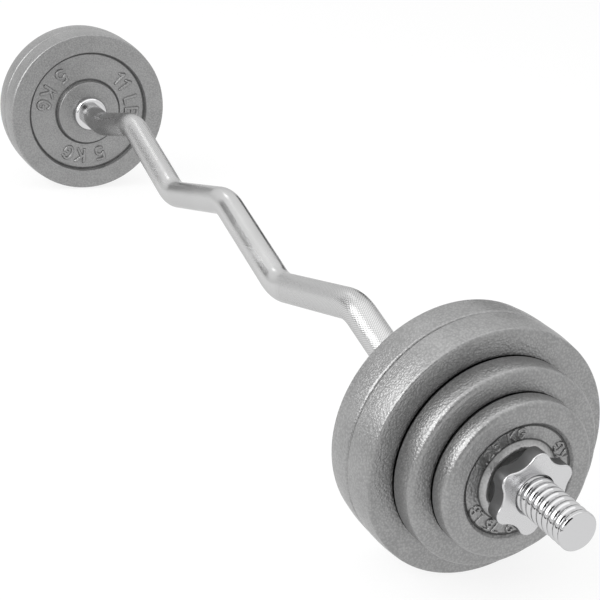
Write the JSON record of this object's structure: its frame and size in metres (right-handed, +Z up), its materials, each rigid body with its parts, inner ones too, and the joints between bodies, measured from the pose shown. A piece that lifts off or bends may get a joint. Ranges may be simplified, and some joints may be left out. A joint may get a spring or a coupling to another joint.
{
  "type": "ez curl bar",
  "caption": "Chromed steel curl bar with W-shaped angled grips, loaded with cast hammertone weight plates that slide on its sleeves and are held by star nuts on a coarse thread.",
  "frame": {"origin": "middle of the bar's length, on the common axis of the two loading sleeves", "axes": "+X along the bar to the right sleeve, +Z up in the plane of the bends, towards the middle of the W"},
  "size_m": [1.2, 0.202, 0.202],
  "materials": {
    "bar_chrome": "bright chrome, knurled grips",
    "ring_chrome": "bright chrome",
    "nut_chrome": "mirror chrome",
    "hammertone_iron": "cast, silver-grey hammertone paint",
    "black_rubber": "matt black"
  },
  "bodies": {
    "bar": {"curl_bar": "bar_chrome", "right_stop_ring": "ring_chrome", "left_stop_ring": "ring_chrome"},
    "right_nut_seat": {"right_nut_gasket": "black_rubber"},
    "right_nut": {"right_star_nut": "nut_chrome"},
    "right_plate_5kg_inner": {"right_plate_5kg_inner": "hammertone_iron"},
    "right_plate_5kg_outer": {"right_plate_5kg_outer": "hammertone_iron"},
    "right_plate_2_5kg": {"right_plate_2_5kg": "hammertone_iron"},
    "right_plate_1_25kg": {"right_plate_1_25kg": "hammertone_iron"},
    "left_nut_seat": {"left_nut_gasket": "black_rubber"},
    "left_nut": {"left_star_nut": "nut_chrome"},
    "left_plate_5kg_inner": {"left_plate_5kg_inner": "hammertone_iron"},
    "left_plate_5kg_outer": {"left_plate_5kg_outer": "hammertone_iron"},
    "left_plate_2_5kg": {"left_plate_2_5kg": "hammertone_iron"},
    "left_plate_1_25kg": {"left_plate_1_25kg": "hammertone_iron"}
  },
  "joints": [
    {"name": "right_nut_travel", "type": "slide", "parent": "bar", "child": "right_nut_seat", "axis": [1, 0, 0], "range_m": [0, 0.05]},
    {"name": "right_nut_turn", "type": "hinge", "parent": "right_nut_seat", "child": "right_nut", "pos_m": [0.54, 0, 0], "axis": [1, 0, 0], "range_deg": [0, 2858.14]},
    {"name": "right_plate_5kg_inner_slide", "type": "slide", "parent": "bar", "child": "right_plate_5kg_inner", "axis": [1, 0, 0], "range_m": [0, 0.01]},
    {"name": "right_plate_5kg_outer_slide", "type": "slide", "parent": "bar", "child": "right_plate_5kg_outer", "axis": [1, 0, 0], "range_m": [0, 0.02]},
    {"name": "right_plate_2_5kg_slide", "type": "slide", "parent": "bar", "child": "right_plate_2_5kg", "axis": [1, 0, 0], "range_m": [0, 0.03]},
    {"name": "right_plate_1_25kg_slide", "type": "slide", "parent": "bar", "child": "right_plate_1_25kg", "axis": [1, 0, 0], "range_m": [0, 0.04]},
    {"name": "left_nut_travel", "type": "slide", "parent": "bar", "child": "left_nut_seat", "axis": [-1, 0, 0], "range_m": [0, 0.05]},
    {"name": "left_nut_turn", "type": "hinge", "parent": "left_nut_seat", "child": "left_nut", "pos_m": [-0.54, 0, 0], "axis": [-1, 0, 0], "range_deg": [0, 2858.14]},
    {"name": "left_plate_5kg_inner_slide", "type": "slide", "parent": "bar", "child": "left_plate_5kg_inner", "axis": [-1, 0, 0], "range_m": [0, 0.01]},
    {"name": "left_plate_5kg_outer_slide", "type": "slide", "parent": "bar", "child": "left_plate_5kg_outer", "axis": [-1, 0, 0], "range_m": [0, 0.02]},
    {"name": "left_plate_2_5kg_slide", "type": "slide", "parent": "bar", "child": "left_plate_2_5kg", "axis": [-1, 0, 0], "range_m": [0, 0.03]},
    {"name": "left_plate_1_25kg_slide", "type": "slide", "parent": "bar", "child": "left_plate_1_25kg", "axis": [-1, 0, 0], "range_m": [0, 0.04]}
  ],
  "couplings": [
    {"joint": "right_nut_turn", "follows": "right_nut_travel", "rad_per_m": 997.33},
    {"joint": "right_plate_5kg_inner_slide", "follows": "right_nut_travel", "ratio": 0.2},
    {"joint": "right_plate_5kg_outer_slide", "follows": "right_nut_travel", "ratio": 0.4},
    {"joint": "right_plate_2_5kg_slide", "follows": "right_nut_travel", "ratio": 0.6},
    {"joint": "right_plate_1_25kg_slide", "follows": "right_nut_travel", "ratio": 0.8},
    {"joint": "left_nut_turn", "follows": "left_nut_travel", "rad_per_m": 997.33},
    {"joint": "left_plate_5kg_inner_slide", "follows": "left_nut_travel", "ratio": 0.2},
    {"joint": "left_plate_5kg_outer_slide", "follows": "left_nut_travel", "ratio": 0.4},
    {"joint": "left_plate_2_5kg_slide", "follows": "left_nut_travel", "ratio": 0.6},
    {"joint": "left_plate_1_25kg_slide", "follows": "left_nut_travel", "ratio": 0.8}
  ]
}
